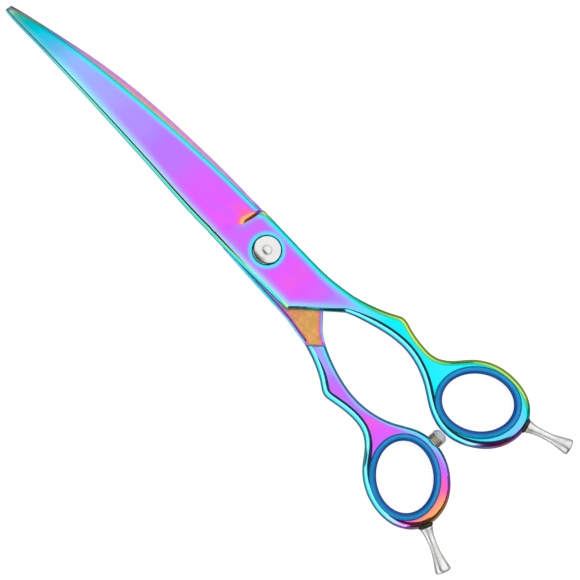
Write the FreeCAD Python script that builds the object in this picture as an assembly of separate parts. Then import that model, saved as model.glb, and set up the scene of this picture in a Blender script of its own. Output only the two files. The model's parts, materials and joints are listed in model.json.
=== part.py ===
"""Curved 8 inch grooming shears: two forged levers on a dial pivot, with finger rests and inserts.

Frame, in millimetres: the origin is on the pivot axis, in the plane of the rear blade's outer face.
+X runs to the blade tips, +Z along the pivot towards the tension dial, and the front lever's
finger ring is on the -Y side. The shears are modelled closed.

Each lever is drawn in the front lever's stance: cutting edge towards -Y, flat inner face on the
mid plane, body above it. The rear lever is then turned half a turn about the X line in that plane.
"""
import FreeCAD, Part
import math
import os

os.makedirs("parts", exist_ok=True)

# Levels
MID_Z = 3.0                # plane between the two flat inner faces
FACE_GAP = 0.05            # each inner face stays this far off that plane
PLATE_TOP = 3.0            # outer face of the pivot area, above the mid plane
BLADE_TOP = 2.94           # crest of the ground blade beside the pivot area
TIP_TOP = 1.5              # outer face at the tip, above the mid plane
HANDLE_HALF = 2.3          # half the thickness of shank and finger ring
SLOPE_START = -10.0        # X where the outer face starts down to the shank's level
SLOPE_END = -36.0          # X where it has come down

# Blade
EDGE_T = 0.25              # thickness left along the cutting edge
BEVEL_WIDTH = (1.5, 0.6)   # spine bevel, at the pivot end and at the tip
BEVEL_DROP = (0.9, 0.4)
GRIND = ((0.09, 0.30), (0.35, 0.68), (0.65, 0.93))   # share of width, share of height

# Pivot area
TAIL_X = (-36.0, -30.0, -26.0, -22.0, -17.5)   # slanting tail edge between shank and spine
TAIL_Y = (-8.8, -4.45, -0.6, 3.1)
PLUNGE = ((14.4, 6.0), (12.5, 3.0), (10.9, 0.4), (10.2, -2.8))   # wall down to the ground face
STEP = ((-33.7, 6.9), (-31.4, 9.0), (-29.4, 11.4))   # wall where the shank drops to its inner face
STEP_CORNERS = ((-20.0, -19.4), (-20.0, 6.0), (-27.0, 6.0))   # rest of the space cut away there
HANDLE_ROUND = 1.7         # rounding of the handle's edges

# Plans of the two levers. Blade: x, edge y and spine y at each section. Handle: outline from the
# shank's root round the ring and back, with y counted outwards from the X axis.
FRONT = {
    "blade": (
        (8.0, -6.9, 9.2), (20.0, -6.15, 9.5), (40.0, -4.6, 9.4), (60.0, -2.25, 9.15),
        (80.0, 0.8, 9.2), (95.0, 4.05, 9.4), (104.5, 6.8, 9.65), (108.2, 8.2, 9.5),
    ),
    "ricasso": ((9.6, -7.5), (0.0, -7.7), (-12.0, -7.95), (-20.0, -8.5), (-28.0, -10.0), (-36.0, -11.5)),
    "spine": ((-17.5, 7.9), (-8.0, 8.4), (2.0, 9.0), (16.0, 9.5)),
    "handle": (
        (-24.0, 9.1), (-30.0, 10.6), (-36.0, 12.95), (-41.0, 15.55), (-43.8, 16.85), (-46.8, 16.4),
        (-54.0, 15.4), (-59.0, 15.9), (-63.0, 18.6), (-67.0, 23.5), (-72.5, 27.6), (-80.5, 29.4),
        (-88.0, 28.0), (-92.4, 24.2), (-94.1, 17.9), (-92.1, 10.9), (-87.5, 5.9), (-82.0, 2.9),
        (-76.5, 2.05), (-70.0, 3.6), (-63.0, 7.5), (-57.0, 9.8), (-51.0, 10.6), (-44.0, 9.7),
        (-36.0, 7.2), (-31.0, 5.1), (-26.0, 0.8),
    ),
    "hole": (-78.0, 16.1),
    "rest": (-92.5, 21.9),
}
REAR = {
    "blade": (
        (8.0, -8.8, 7.3), (20.0, -8.7, 7.0), (40.0, -8.5, 6.0), (60.0, -8.2, 4.1),
        (80.0, -8.3, 0.5), (95.0, -8.7, -3.35), (104.5, -9.1, -5.95), (108.2, -9.35, -7.2),
    ),
    "ricasso": ((9.6, -9.5), (0.0, -9.7), (-12.0, -9.75), (-20.0, -9.95), (-28.0, -10.9), (-36.0, -11.6)),
    "spine": ((-17.5, 7.0), (-8.0, 7.1), (2.0, 7.3), (16.0, 7.15)),
    "handle": (
        (-24.0, 10.3), (-30.0, 11.2), (-36.0, 13.0), (-41.0, 15.4), (-44.5, 17.15), (-47.5, 16.8),
        (-56.0, 15.5), (-60.5, 16.1), (-64.5, 18.6), (-68.5, 23.2), (-74.0, 27.2), (-82.0, 29.2),
        (-89.0, 28.0), (-94.0, 23.8), (-95.7, 17.7), (-94.1, 11.2), (-89.0, 5.5), (-84.0, 2.8),
        (-78.0, 1.9), (-72.0, 3.2), (-65.0, 7.3), (-58.0, 9.9), (-52.0, 10.65), (-45.0, 10.0),
        (-37.0, 7.8), (-32.0, 5.6), (-26.0, 0.6),
    ),
    "hole": (-79.65, 15.8),
    "rest": (-94.4, 21.0),
}

# Finger rings
HOLE_LONG = 11.1           # half lengths of the clear finger hole
HOLE_SHORT = 8.75
HOLE_TILT = 36.0           # degrees from -X outwards
INSERT_WALL = 1.1
LIP_WIDTH = 1.1            # insert lip over the metal, beyond the wall
LIP_SINK = 0.45            # depth of the lip's seat in the ring
LIP_PROUD = 0.25           # how far the lip stands above the ring
FIT = 0.02                 # clearance of parts that are assembled fast

# Finger rests, lengths counted along the rest's axis from its seat on the ring
REST_TILT = 21.0           # degrees from -X outwards
REST_WASHER_R = 2.4
REST_WASHER_T = 1.15
REST_STUB_R = 1.0
REST_STUB = 3.0
REST_PROFILE = ((1.15, 2.0), (3.2, 1.55), (6.8, 1.3), (11.0, 1.75), (15.2, 2.52))
REST_TIP = ((15.5, 2.5), (16.0, 0.8), (16.1, 0.0))
REST_WASHER_ROUND = 0.4
SEAT_R = 2.5
SPOT_LENGTH = 4.0          # how far a spot face is cleared outwards
SOCKET_END = 0.2           # play past the end of a stub in its socket

# Ring bumper, on the rear ring, pointing -Y
BUMPER_X = -77.7
BUMPER_SEAT_Y = 2.6
BUMPER_R = 2.45
SLEEVE_END_Y = 0.2
CAP_END_Y = -1.75
BUMPER_STUB = 2.0
BUMPER_PLAY = 0.1          # spot face round the sleeve
GROOVES = 3
GROOVE_R = 0.2
GROOVE_OUT = 0.05          # groove centres outside the sleeve
CAP_ROUND = 1.2

# Pivot
HEAD_R = 4.5
HEAD_T = 1.2
NECK = 4.6                 # square neck, across its flats
NECK_TOP = 2.5
JOURNAL_R = 2.5
RUN_FIT = 0.06             # radial running clearance
JOURNAL_TOP = 4.95
STUD_R = 1.7
STUD_TOP = 6.75
THRUST_R = 4.1
BUSH_R = 3.1
DIAL_R = 4.33
DIAL_BASE = 5.3
DIAL_TOP = 6.9
DIAL_CHAMFER = 0.35
RECESS_R = 4.62
RECESS_FLOOR = 4.9
SPRING_T = 0.3
SPRING_R = 4.2
SPRING_WINGS = 3
SCALLOP_R = 1.6
SCALLOP_AT = 4.9           # distance of the scallops' centres from the pivot axis

# Helping solids
PAST = 1.0                 # how far a cutting solid runs past the faces it opens
OVERLAP = 0.1              # depth by which fused solids reach into each other
CUT_SIDE = 20.0            # reach of the slope's cutting solid to either side of the X axis

X_AXIS = FreeCAD.Vector(1, 0, 0)
Z_AXIS = FreeCAD.Vector(0, 0, 1)


def at(x, y, z=0.0):
    return FreeCAD.Vector(x, y, z)


def spline(points, closed=False):
    """Smooth curve through plan points."""
    curve = Part.BSplineCurve()
    curve.interpolate([at(*p) for p in points], PeriodicFlag=closed)
    return curve.toShape()


def slab(edges, low, high):
    """Extrude a closed chain of plan edges between two heights."""
    face = Part.Face(Part.Wire(edges))
    face.translate(at(0, 0, low))
    return face.extrude(at(0, 0, high - low))


def disc(radius, low, high):
    return Part.makeCylinder(radius, high - low, at(0, 0, low))


def ring(inner, outer, low, high):
    return disc(outer, low, high).cut(disc(inner, low, high))


def turned(profile, base, direction):
    """Solid of revolution from a closed chain of edges drawn as (radius, 0, length)."""
    solid = Part.Face(Part.Wire(profile)).revolve(at(0, 0), Z_AXIS, 360)
    solid = Part.makeSolid(solid.Shells[0]) if solid.ShapeType != "Solid" else solid
    solid.Placement = FreeCAD.Placement(base, FreeCAD.Rotation(Z_AXIS, direction))
    return solid


def to_rear(shape):
    """Half turn about the X line in the mid plane."""
    turned_shape = shape.copy()
    turned_shape.rotate(at(0, 0, MID_Z), X_AXIS, 180)
    return turned_shape


def blade_section(x, edge_y, spine_y, share):
    """Closed section across the blade: flat inner face, convex ground face, bevelled spine."""
    top = BLADE_TOP + (TIP_TOP - BLADE_TOP) * share
    bevel = BEVEL_WIDTH[0] + (BEVEL_WIDTH[1] - BEVEL_WIDTH[0]) * share
    drop = BEVEL_DROP[0] + (BEVEL_DROP[1] - BEVEL_DROP[0]) * share
    low = MID_Z + FACE_GAP
    edge_top = low + EDGE_T
    crest = at(x, spine_y - bevel, MID_Z + top)
    rise = crest.z - edge_top
    run = crest.y - edge_y
    ground = [at(x, edge_y, edge_top)]
    ground += [at(x, edge_y + run * u, edge_top + rise * v) for u, v in GRIND]
    ground.append(crest)
    face = Part.BSplineCurve()
    face.interpolate(ground)
    spine_top = at(x, spine_y, crest.z - drop)
    spine_low = at(x, spine_y, low)
    edge_low = at(x, edge_y, low)
    return Part.Wire([
        face.toShape(),
        Part.makeLine(crest, spine_top),
        Part.makeLine(spine_top, spine_low),
        Part.makeLine(spine_low, edge_low),
        Part.makeLine(edge_low, ground[0]),
    ])


def blade(plan):
    rows = plan["blade"]
    first = rows[0][0]
    length = rows[-1][0] - first
    sections = [blade_section(x, edge, spine, (x - first) / length) for x, edge, spine in rows]
    return Part.makeLoft(sections, True, False)


def pivot_area(plan):
    """Plate around the pivot, with the slanting tail edge and the plunge to the ground blade."""
    ricasso = plan["ricasso"]
    spine = plan["spine"]
    tail_y = TAIL_Y + (spine[0][1],)
    tail = list(zip(TAIL_X, tail_y))
    plunge = [spine[-1]] + list(PLUNGE) + [ricasso[0]]
    plate = slab([
        spline(ricasso),
        Part.makeLine(at(*ricasso[-1]), at(*tail[0])),
        spline(tail),
        spline(spine),
        spline(plunge),
    ], MID_Z + FACE_GAP, MID_Z + PLATE_TOP)
    return plate.cut(slope_wedge())


def slope_wedge():
    """What is taken off the plate's outer face on its way down to the shank."""
    high = MID_Z + PLATE_TOP
    low = MID_Z + HANDLE_HALF
    wedge = Part.makePolygon([
        at(SLOPE_START, -CUT_SIDE, high),
        at(SLOPE_END, -CUT_SIDE, low),
        at(SLOPE_END - PAST, -CUT_SIDE, low),
        at(SLOPE_END - PAST, -CUT_SIDE, high + PAST),
        at(SLOPE_START, -CUT_SIDE, high + PAST),
        at(SLOPE_START, -CUT_SIDE, high),
    ])
    return Part.Face(wedge).extrude(at(0, 2 * CUT_SIDE, 0))


def handle(plan):
    """Shank and finger ring, rounded, with the inner half cut away forward of the step."""
    outline = [(x, -y) for x, y in plan["handle"]]
    solid = slab([
        spline(outline),
        Part.makeLine(at(*outline[-1]), at(*outline[0])),
    ], MID_Z - HANDLE_HALF, MID_Z + HANDLE_HALF)
    upper_and_lower = sorted(solid.Edges, key=lambda edge: edge.Length)[-2:]
    solid = solid.makeFillet(HANDLE_ROUND, upper_and_lower)
    return solid.cut(step_block())


def step_block():
    """The space that the other lever's plate needs beside the shank's root."""
    wall = [(x, -y) for x, y in STEP]
    corners = [at(*point) for point in (wall[-1],) + STEP_CORNERS + (wall[0],)]
    sides = [Part.makeLine(a, b) for a, b in zip(corners, corners[1:])]
    return slab([spline(wall)] + sides, MID_Z - HANDLE_HALF - PAST, MID_Z + FACE_GAP)


def hole_ellipse(plan, grow, low, high):
    """Elliptical prism round the clear finger hole, larger by grow all round."""
    x, y = plan["hole"]
    shape = Part.Ellipse(at(0, 0), HOLE_LONG + grow, HOLE_SHORT + grow).toShape()
    shape.rotate(at(0, 0), Z_AXIS, HOLE_TILT)
    shape.translate(at(x, -y))
    return slab([shape], low, high)


def ring_cuts(plan):
    """Bore for the insert, and the shallow seat for its lip on both faces."""
    low = MID_Z - HANDLE_HALF
    high = MID_Z + HANDLE_HALF
    bore = hole_ellipse(plan, INSERT_WALL, low - PAST, high + PAST)
    seat = INSERT_WALL + LIP_WIDTH
    upper = hole_ellipse(plan, seat, high - LIP_SINK, high + PAST)
    lower = hole_ellipse(plan, seat, low - PAST, low + LIP_SINK)
    return bore.fuse([upper, lower])


def ring_insert(plan):
    """Soft sleeve with a lip over both faces of the ring."""
    low = MID_Z - HANDLE_HALF
    high = MID_Z + HANDLE_HALF
    wall = INSERT_WALL - FIT
    lip = INSERT_WALL + LIP_WIDTH - FIT
    sleeve = hole_ellipse(plan, wall, low, high)
    upper = hole_ellipse(plan, lip, high - LIP_SINK + FIT, high + LIP_PROUD)
    lower = hole_ellipse(plan, lip, low - LIP_PROUD, low + LIP_SINK - FIT)
    hole = hole_ellipse(plan, 0.0, low - PAST, high + PAST)
    return sleeve.fuse([upper, lower]).cut(hole).removeSplitter()


def rest_base(plan):
    x, y = plan["rest"]
    return at(x, -y, MID_Z)


def rest_direction():
    angle = math.radians(180 + REST_TILT)
    return at(math.cos(angle), math.sin(angle))


def rest_cuts(plan):
    """Spot face and threaded socket for a finger rest."""
    base = rest_base(plan)
    out = rest_direction()
    spot = Part.makeCylinder(SEAT_R, SPOT_LENGTH, base, out)
    depth = REST_STUB + SOCKET_END + PAST
    socket = Part.makeCylinder(REST_STUB_R + FIT, depth, base + out * PAST, out * -1)
    return spot.fuse(socket)


def finger_rest(plan):
    """Waisted rest with a shallow cone at its end and a threaded stub."""
    body = [at(r, 0, s) for s, r in REST_PROFILE]
    waist = Part.BSplineCurve()
    waist.interpolate(body)
    tip = [body[-1]] + [at(r, 0, s) for s, r in REST_TIP]
    stub = [
        at(0, 0, tip[-1].z), at(0, 0, -REST_STUB), at(REST_STUB_R, 0, -REST_STUB),
        at(REST_STUB_R, 0, REST_WASHER_T + FIT), at(body[0].x, 0, REST_WASHER_T + FIT),
    ]
    edges = [Part.makeLine(a, b) for a, b in zip(tip, tip[1:])]
    edges += [Part.makeLine(a, b) for a, b in zip(stub, stub[1:])]
    edges.append(Part.makeLine(stub[-1], body[0]))
    edges.append(waist.toShape())
    return turned(Part.sortEdges(edges)[0], rest_base(plan), rest_direction())


def rest_washer(plan):
    base = rest_base(plan) + rest_direction() * FIT
    out = rest_direction()
    height = REST_WASHER_T - FIT
    outer = Part.makeCylinder(REST_WASHER_R, height, base, out)
    bulge = outer.makeFillet(REST_WASHER_ROUND, [e for e in outer.Edges if e.Closed])
    return bulge.cut(Part.makeCylinder(REST_STUB_R + FIT, height, base, out))


def bumper_cuts():
    """Spot face and socket for the bumper, drawn in the rear ring's real place."""
    seat = at(BUMPER_X, BUMPER_SEAT_Y, MID_Z)
    spot = Part.makeCylinder(BUMPER_R + BUMPER_PLAY, SPOT_LENGTH, seat, at(0, -1))
    depth = BUMPER_STUB + SOCKET_END + PAST
    socket = Part.makeCylinder(REST_STUB_R + FIT, depth, seat - at(0, PAST), at(0, 1))
    return spot.fuse(socket)


def bumper_screw():
    """Ribbed sleeve with a stub that screws into the ring."""
    seat = BUMPER_SEAT_Y - FIT
    length = seat - SLEEVE_END_Y
    sleeve = Part.makeCylinder(BUMPER_R, length, at(BUMPER_X, seat, MID_Z), at(0, -1))
    root = at(BUMPER_X, seat - OVERLAP, MID_Z)
    stub = Part.makeCylinder(REST_STUB_R, BUMPER_STUB + OVERLAP, root, at(0, 1))
    groove_pitch = length / (GROOVES + 1)
    grooves = []
    for number in range(1, GROOVES + 1):
        centre = at(BUMPER_X, seat - groove_pitch * number, MID_Z)
        grooves.append(Part.makeTorus(BUMPER_R + GROOVE_OUT, GROOVE_R, centre, at(0, 1)))
    return sleeve.fuse(stub).cut(grooves)


def bumper_cap():
    """Clear domed cap against which the front ring closes."""
    base = at(BUMPER_X, SLEEVE_END_Y - FIT, MID_Z)
    height = base.y - CAP_END_Y
    cap = Part.makeCylinder(BUMPER_R, height, base, at(0, -1))
    end = [e for e in cap.Edges if e.Closed and e.CenterOfMass.y < CAP_END_Y + FIT]
    return cap.makeFillet(CAP_ROUND, end)


def square_prism(across, low, high):
    return Part.makeBox(across, across, high - low, at(-across / 2, -across / 2, low))


def lever(plan):
    """One forging, drawn in the front lever's stance, with its ring bored and its rest socket cut."""
    forging = handle(plan).fuse([pivot_area(plan), blade(plan)])
    return forging.cut([ring_cuts(plan), rest_cuts(plan)])


def front_blade():
    recess = disc(RECESS_R, RECESS_FLOOR, MID_Z + PLATE_TOP + PAST)
    bore = disc(BUSH_R, MID_Z, RECESS_FLOOR + PAST)
    return lever(FRONT).cut([recess, bore]).removeSplitter()


def rear_blade():
    head = disc(HEAD_R + FIT, -PAST, HEAD_T)
    neck = square_prism(NECK + 2 * FIT, 0, MID_Z)
    thrust = disc(THRUST_R, NECK_TOP, MID_Z)
    return to_rear(lever(REAR)).cut([head, neck, thrust, bumper_cuts()]).removeSplitter()


def pivot_bolt():
    """Flush head, square neck keyed into the rear blade, journal, and stud for the dial."""
    head = disc(HEAD_R, 0, HEAD_T - FIT)
    neck = square_prism(NECK, HEAD_T - FIT - OVERLAP, NECK_TOP - FIT)
    journal = disc(JOURNAL_R, NECK_TOP - FIT - OVERLAP, JOURNAL_TOP)
    stud = disc(STUD_R, JOURNAL_TOP - OVERLAP, STUD_TOP)
    return head.fuse([neck, journal, stud]).removeSplitter()


def thrust_washer():
    return ring(JOURNAL_R + RUN_FIT, THRUST_R - RUN_FIT, NECK_TOP, MID_Z)


def pivot_bush():
    low = MID_Z + FACE_GAP
    return ring(JOURNAL_R + RUN_FIT, BUSH_R - FIT, low, RECESS_FLOOR)


def click_spring():
    """Sprung washer under the dial, with scalloped wings."""
    low = JOURNAL_TOP + FIT
    spring = ring(STUD_R + FIT, SPRING_R, low, low + SPRING_T)
    scallops = []
    for number in range(SPRING_WINGS):
        angle = 2 * math.pi * number / SPRING_WINGS
        centre = at(SCALLOP_AT * math.cos(angle), SCALLOP_AT * math.sin(angle), low)
        scallops.append(Part.makeCylinder(SCALLOP_R, SPRING_T, centre))
    return spring.cut(scallops)


def tension_dial():
    dial = disc(DIAL_R, DIAL_BASE, DIAL_TOP)
    rims = [e for e in dial.Edges if e.Closed]
    dial = dial.makeChamfer(DIAL_CHAMFER, rims)
    return dial.cut(disc(STUD_R + RUN_FIT, DIAL_BASE - PAST, DIAL_TOP + PAST))


PARTS = {
    "front_blade": front_blade(),
    "rear_blade": rear_blade(),
    "front_ring_insert": ring_insert(FRONT),
    "rear_ring_insert": to_rear(ring_insert(REAR)),
    "front_finger_rest": finger_rest(FRONT),
    "rear_finger_rest": to_rear(finger_rest(REAR)),
    "front_rest_washer": rest_washer(FRONT),
    "rear_rest_washer": to_rear(rest_washer(REAR)),
    "bumper_screw": bumper_screw(),
    "bumper_cap": bumper_cap(),
    "pivot_bolt": pivot_bolt(),
    "thrust_washer": thrust_washer(),
    "pivot_bush": pivot_bush(),
    "click_spring": click_spring(),
    "tension_dial": tension_dial(),
}

for name, shape in PARTS.items():
    shape.exportStep("parts/" + name + ".step")
    box = shape.BoundBox
    print(f"{name}: {len(shape.Solids)} solid, valid {shape.isValid()}, {shape.Volume:.2f} mm3, "
          f"x {box.XMin:.2f}..{box.XMax:.2f}, y {box.YMin:.2f}..{box.YMax:.2f}, "
          f"z {box.ZMin:.2f}..{box.ZMax:.2f}")
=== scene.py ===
"""Looks for the curved grooming shears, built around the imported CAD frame, in metres.

Each lever's forging is rebuilt from the outlines of its CAD mesh, so it keeps the CAD's sizes, and gets
the rounded shank, ground blade and bored ring of the real thing. Levers are worked out in the front
lever's stance, edge towards -Y and inner face on the mid plane. The rear lever is then turned over.
"""
import json
import math

import bmesh
import bpy
import numpy as np
from mathutils import Matrix, Vector
from mathutils.geometry import delaunay_2d_cdt

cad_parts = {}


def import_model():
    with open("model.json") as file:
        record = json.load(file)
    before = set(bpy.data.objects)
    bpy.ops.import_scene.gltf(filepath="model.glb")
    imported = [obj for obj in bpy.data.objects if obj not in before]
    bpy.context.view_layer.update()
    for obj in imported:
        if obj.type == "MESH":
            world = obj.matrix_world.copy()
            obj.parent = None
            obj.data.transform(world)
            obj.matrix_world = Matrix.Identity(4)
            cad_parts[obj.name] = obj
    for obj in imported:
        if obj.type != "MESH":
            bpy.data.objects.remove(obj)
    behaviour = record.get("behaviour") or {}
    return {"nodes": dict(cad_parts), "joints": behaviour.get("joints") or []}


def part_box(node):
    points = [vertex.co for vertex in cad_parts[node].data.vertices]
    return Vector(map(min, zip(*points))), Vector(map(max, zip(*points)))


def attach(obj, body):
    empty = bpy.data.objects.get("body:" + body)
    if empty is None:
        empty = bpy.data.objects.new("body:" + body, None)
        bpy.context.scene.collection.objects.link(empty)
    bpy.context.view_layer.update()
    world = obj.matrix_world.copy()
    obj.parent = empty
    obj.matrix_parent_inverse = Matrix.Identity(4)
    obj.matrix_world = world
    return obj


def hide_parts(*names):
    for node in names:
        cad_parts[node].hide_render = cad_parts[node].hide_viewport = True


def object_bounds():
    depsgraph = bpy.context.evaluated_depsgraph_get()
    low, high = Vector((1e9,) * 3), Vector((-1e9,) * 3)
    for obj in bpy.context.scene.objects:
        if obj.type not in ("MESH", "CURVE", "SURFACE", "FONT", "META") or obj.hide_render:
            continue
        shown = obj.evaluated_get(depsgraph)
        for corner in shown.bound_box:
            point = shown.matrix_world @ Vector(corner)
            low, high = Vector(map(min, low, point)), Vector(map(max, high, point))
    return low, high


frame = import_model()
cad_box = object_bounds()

MM = 0.001


def mm(*lengths):
    """Tuple of lengths in mm, in nested tuples too, turned into metres."""
    return tuple(mm(*n) if isinstance(n, tuple) else n * MM for n in lengths)


NODES = frame["nodes"]
JOINTS = {joint["name"]: joint for joint in frame["joints"]}
MID = JOINTS["pivot"]["pos_m"][2]  # height of the plane between the blades
WELD = 1e-7

# Forging, heights above the mid plane
SECTION = 0.15 * MM  # level at which a lever's outline is read
INNER = 0.05 * MM  # flat inner face
PLATE_TOP = 3.0 * MM
HANDLE_TOP = 2.3 * MM
SHANK_X = mm(-36, -16)  # the outer face climbs from shank to plate between these
ROUND_X = mm(-40, -24)  # the edge rounding tightens between these
SHANK_WIDTH = mm(1.55, 2.4)  # rounded margin of the handle, -Y and +Y side when assembled
PLATE_WIDTH = 1.1 * MM
ROUND_DROP = mm(2.3, 1.3)  # fall of the rounded margin, on handle and plate
ROUND_STEPS = 14
CREASE = (math.radians(15), math.radians(33))  # slope at which that margin starts
TIGHT_BEND = 0.8  # share of a bend's radius that the margin may take
INNER_ROUND = mm(1.5, 0.9)  # width of the rounding round the inner face, -Y and +Y side
INNER_ROUND_H = 0.7 * MM
CHOIL_ROUND = 0.85 * MM  # the same width beside the choil
MARGIN_GAP = 0.05 * MM  # least height between the outer and the inner margin
STEP_MERGE = mm(0.5, 1.1)  # past the step, the handle's lower margin gives way between these
BLADE_MERGE = mm(4, 12)  # the inner rounding fades towards the blade's spine between these X
CHOIL_MERGE = mm(-4, 9)  # and takes the choil's width between these
SPINE_MERGE = mm(-6, 12)  # the plate's margin becomes the spine bevel between these X
CORNER_TURN = math.radians(30)  # an outline turns more than this at a corner
OUTLINE_STEP = 0.4 * MM
STRAIGHT = math.radians(0.06)  # an outline's points that turn less are left out
CAP_SPACING = 1.0 * MM
FLAT_STRIP = 0.3 * MM  # even strip of the flat face beside its margin

# Step in the shank: (height, shift of the wall towards the tips) from below to the inner face
STEP_PROFILE = mm(
    (-4.0, -1.0), (-2.3, -0.45), (-2.15, -0.2), (-1.8, -0.05), (-1.2, 0.0), (-0.6, 0.05), (-0.2, 0.2),
) + ((INNER, 0.5 * MM),)

# Ground blade
PLUNGE_SHARE = (0.0, 0.27, 0.46, 0.62, 1.0)
PLUNGE_SHIFT = mm(0.0, 0.6, 1.3, 2.9, 6.4)
PLUNGE_SPAN = (0.095, 0.84)  # shares of the width between which the plate ends on the plunge
PLUNGE_POINTS = 36
PLUNGE_CLEAR = 1.8 * MM  # spine beside the plunge that is left without outline points
PLUNGE_MARGIN = 0.12 * MM
PLUNGE_DROP = 0.3 * MM
PLUNGE_LENGTH = mm(3.8, 13)  # run-out of the plunge, at the edge and at the spine
PLUNGE_POWER = 6
RUN_OUT = (0.15, 0.75)  # the run-out lengthens between these shares of the width
RUN_EASE = (0.3, 0.65)  # and turns from abrupt to smooth between these
CHOIL_BEFORE = 30 * MM  # the choil is the lowest corner before this X
SPINE_EASE = 15 * MM  # the blade's spine meets the plate's within this length
LEAD = mm(-1.2, -0.4)  # rows of the blade that reach back into the plate
RUN_IN_STEPS = 40
BLADE_STEPS = 120
BLADE_TOP = 2.94 * MM
TIP_TOP = 1.5 * MM
EDGE_T = 0.22 * MM
EDGE_SWELL = 0.26  # share of the height gained in the convex edge
EDGE_REACH = 0.045  # share of the width that the convex edge takes
BEVEL_WIDTH = mm(1.6, 0.75)
BEVEL_DROP = mm(1.25, 0.6)
BEVEL_START = math.radians(28)  # where on its quarter ellipse the spine bevel starts
BEVEL_STEPS = 12
INNER_HOLLOW = 0.12 * MM

# Rings and pivot
SLACK = 0.02 * MM
SEAT_FLOOR = 1.86 * MM  # lip seat, above and below the mid plane
SEAT_BREAK = 0.16 * MM
LIP_PROUD = 0.24 * MM
RECESS_R = 4.62 * MM
RECESS_BREAK = 0.1 * MM
BUSH_R = 3.1 * MM
DIAL_FLOOR = 4.9 * MM
DIAL_CROWN = 0.22  # mm
SEAT_R = 2.5 * MM  # spot face under a rest's washer
SEAT_REACH = 6 * MM
SEAT_GAP = 2.75 * MM  # the CAD outline is left out this close to a seat's axis
BUMPER_SEAT_Y = 2.6 * MM
BUMPER_PLAY = 0.1 * MM
BUMPER_REACH = 4 * MM
# Radius and height of the recesses for the bolt and the thrust washer
HEAD_RECESS = mm((4.56, -1), (4.56, 1.2), (3.2, 1.2), (3.2, 2.5), (4.1, 2.5), (4.1, 4))

# Stage
FLOOR_HALF = 3.0
FLOOR_POINTS = 12
FLOOR_GAP = 0.02 * MM
FLOOR_GLOW = 0.8
SKY_SEEN = 0.9  # brightness of the world to the camera
SKY_LIGHT = 0.06  # and as a light
CAMERA_DISTANCE = 1.6
FRAME_WIDTH = 0.1775
SENSOR = 36.0
FRAMING = Vector((-12.95 * MM, 3.34 * MM, 0))  # the picture's centre, off the object's centre
HEADING = math.radians(-132.5)


def smoothstep(low, high, value):
    share = np.clip((np.asarray(value, float) - low) / (high - low), 0, 1)
    return share * share * (3 - 2 * share)


def between(pair, share):
    return pair[0] + (pair[1] - pair[0]) * share


# ---- outlines read from the CAD mesh

def turn_over(points):
    """Half turn about the X line in the mid plane, heights counted from that plane."""
    return np.asarray(points) * (1, -1, -1)


def section(node, level, rear):
    """Closed counter-clockwise outlines of a CAD node at a level above the mid plane."""
    mesh = bmesh.new()
    mesh.from_mesh(NODES[node].data)
    bmesh.ops.remove_doubles(mesh, verts=mesh.verts, dist=WELD)
    height = MID - level if rear else MID + level
    geom = mesh.verts[:] + mesh.edges[:] + mesh.faces[:]
    cut = bmesh.ops.bisect_plane(mesh, geom=geom, dist=WELD, plane_co=(0, 0, height), plane_no=(0, 0, 1))
    edges = {e for e in cut["geom_cut"] if isinstance(e, bmesh.types.BMEdge)}
    loops = []
    while edges:
        edge = edges.pop()
        first, last = edge.verts
        chain = [first, last]
        while last is not first:
            edge = next(e for e in last.link_edges if e in edges)
            edges.remove(edge)
            last = edge.other_vert(last)
            chain.append(last)
        loops.append(np.array([v.co.xy for v in chain[:-1]]))
    mesh.free()
    if rear:
        loops = [loop * (1, -1) for loop in loops]
    return [tidied(loop) for loop in loops]


def area(loop):
    x, y = loop.T
    return 0.5 * np.sum(x * np.roll(y, -1) - y * np.roll(x, -1))


def turns(loop):
    """Turning angle at each point of a closed outline, positive to the left."""
    before = loop - np.roll(loop, 1, axis=0)
    after = np.roll(loop, -1, axis=0) - loop
    cross = before[:, 0] * after[:, 1] - before[:, 1] * after[:, 0]
    return np.arctan2(cross, np.sum(before * after, axis=1))


def tidied(loop):
    """Outline without its straight stretches' points, counter-clockwise from the back of the shears."""
    loop = loop[np.abs(turns(loop)) > STRAIGHT]
    loop = loop if area(loop) > 0 else loop[::-1]
    return np.roll(loop, -np.lexsort((loop[:, 1], loop[:, 0]))[0], axis=0)


def natural_spline(points, spacing):
    """Resample a natural cubic spline through the points, keeping both ends."""
    points = np.asarray(points)
    steps = np.linalg.norm(np.diff(points, axis=0), axis=1)
    along = np.concatenate([[0], np.cumsum(steps)])
    count = len(points)
    system = np.eye(count)
    right = np.zeros((count, 2))
    for i in range(1, count - 1):
        system[i, i - 1:i + 2] = steps[i - 1], 2 * (steps[i - 1] + steps[i]), steps[i]
        right[i] = 6 * ((points[i + 1] - points[i]) / steps[i] - (points[i] - points[i - 1]) / steps[i - 1])
    bend = np.linalg.solve(system, right)
    where = np.linspace(0, along[-1], max(2, int(round(along[-1] / spacing)) + 1))
    i = np.clip(np.searchsorted(along, where, side="right") - 1, 0, count - 2)
    h = steps[i][:, None]
    a = (along[i + 1] - where)[:, None] / h
    b = 1 - a
    curve = a * points[i] + b * points[i + 1]
    return curve + ((a ** 3 - a) * bend[i] + (b ** 3 - b) * bend[i + 1]) * h ** 2 / 6


def between_corners(loop):
    """The stretches of a closed outline from each corner to the next."""
    corners = np.flatnonzero(np.abs(turns(loop)) > CORNER_TURN)
    loop = np.roll(loop, -corners[0], axis=0)
    corners = np.append(corners - corners[0], len(loop))
    closed = np.vstack([loop, loop[:1]])
    return [closed[a:b + 1] for a, b in zip(corners, corners[1:])]


def smooth_outline(loop):
    """Resample a closed outline on smooth curves between its corners. Returns points and corner flags."""
    pieces = [natural_spline(piece, OUTLINE_STEP)[:-1] for piece in between_corners(loop)]
    flags = [np.arange(len(piece)) == 0 for piece in pieces]
    return np.vstack(pieces), np.concatenate(flags)


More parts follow.
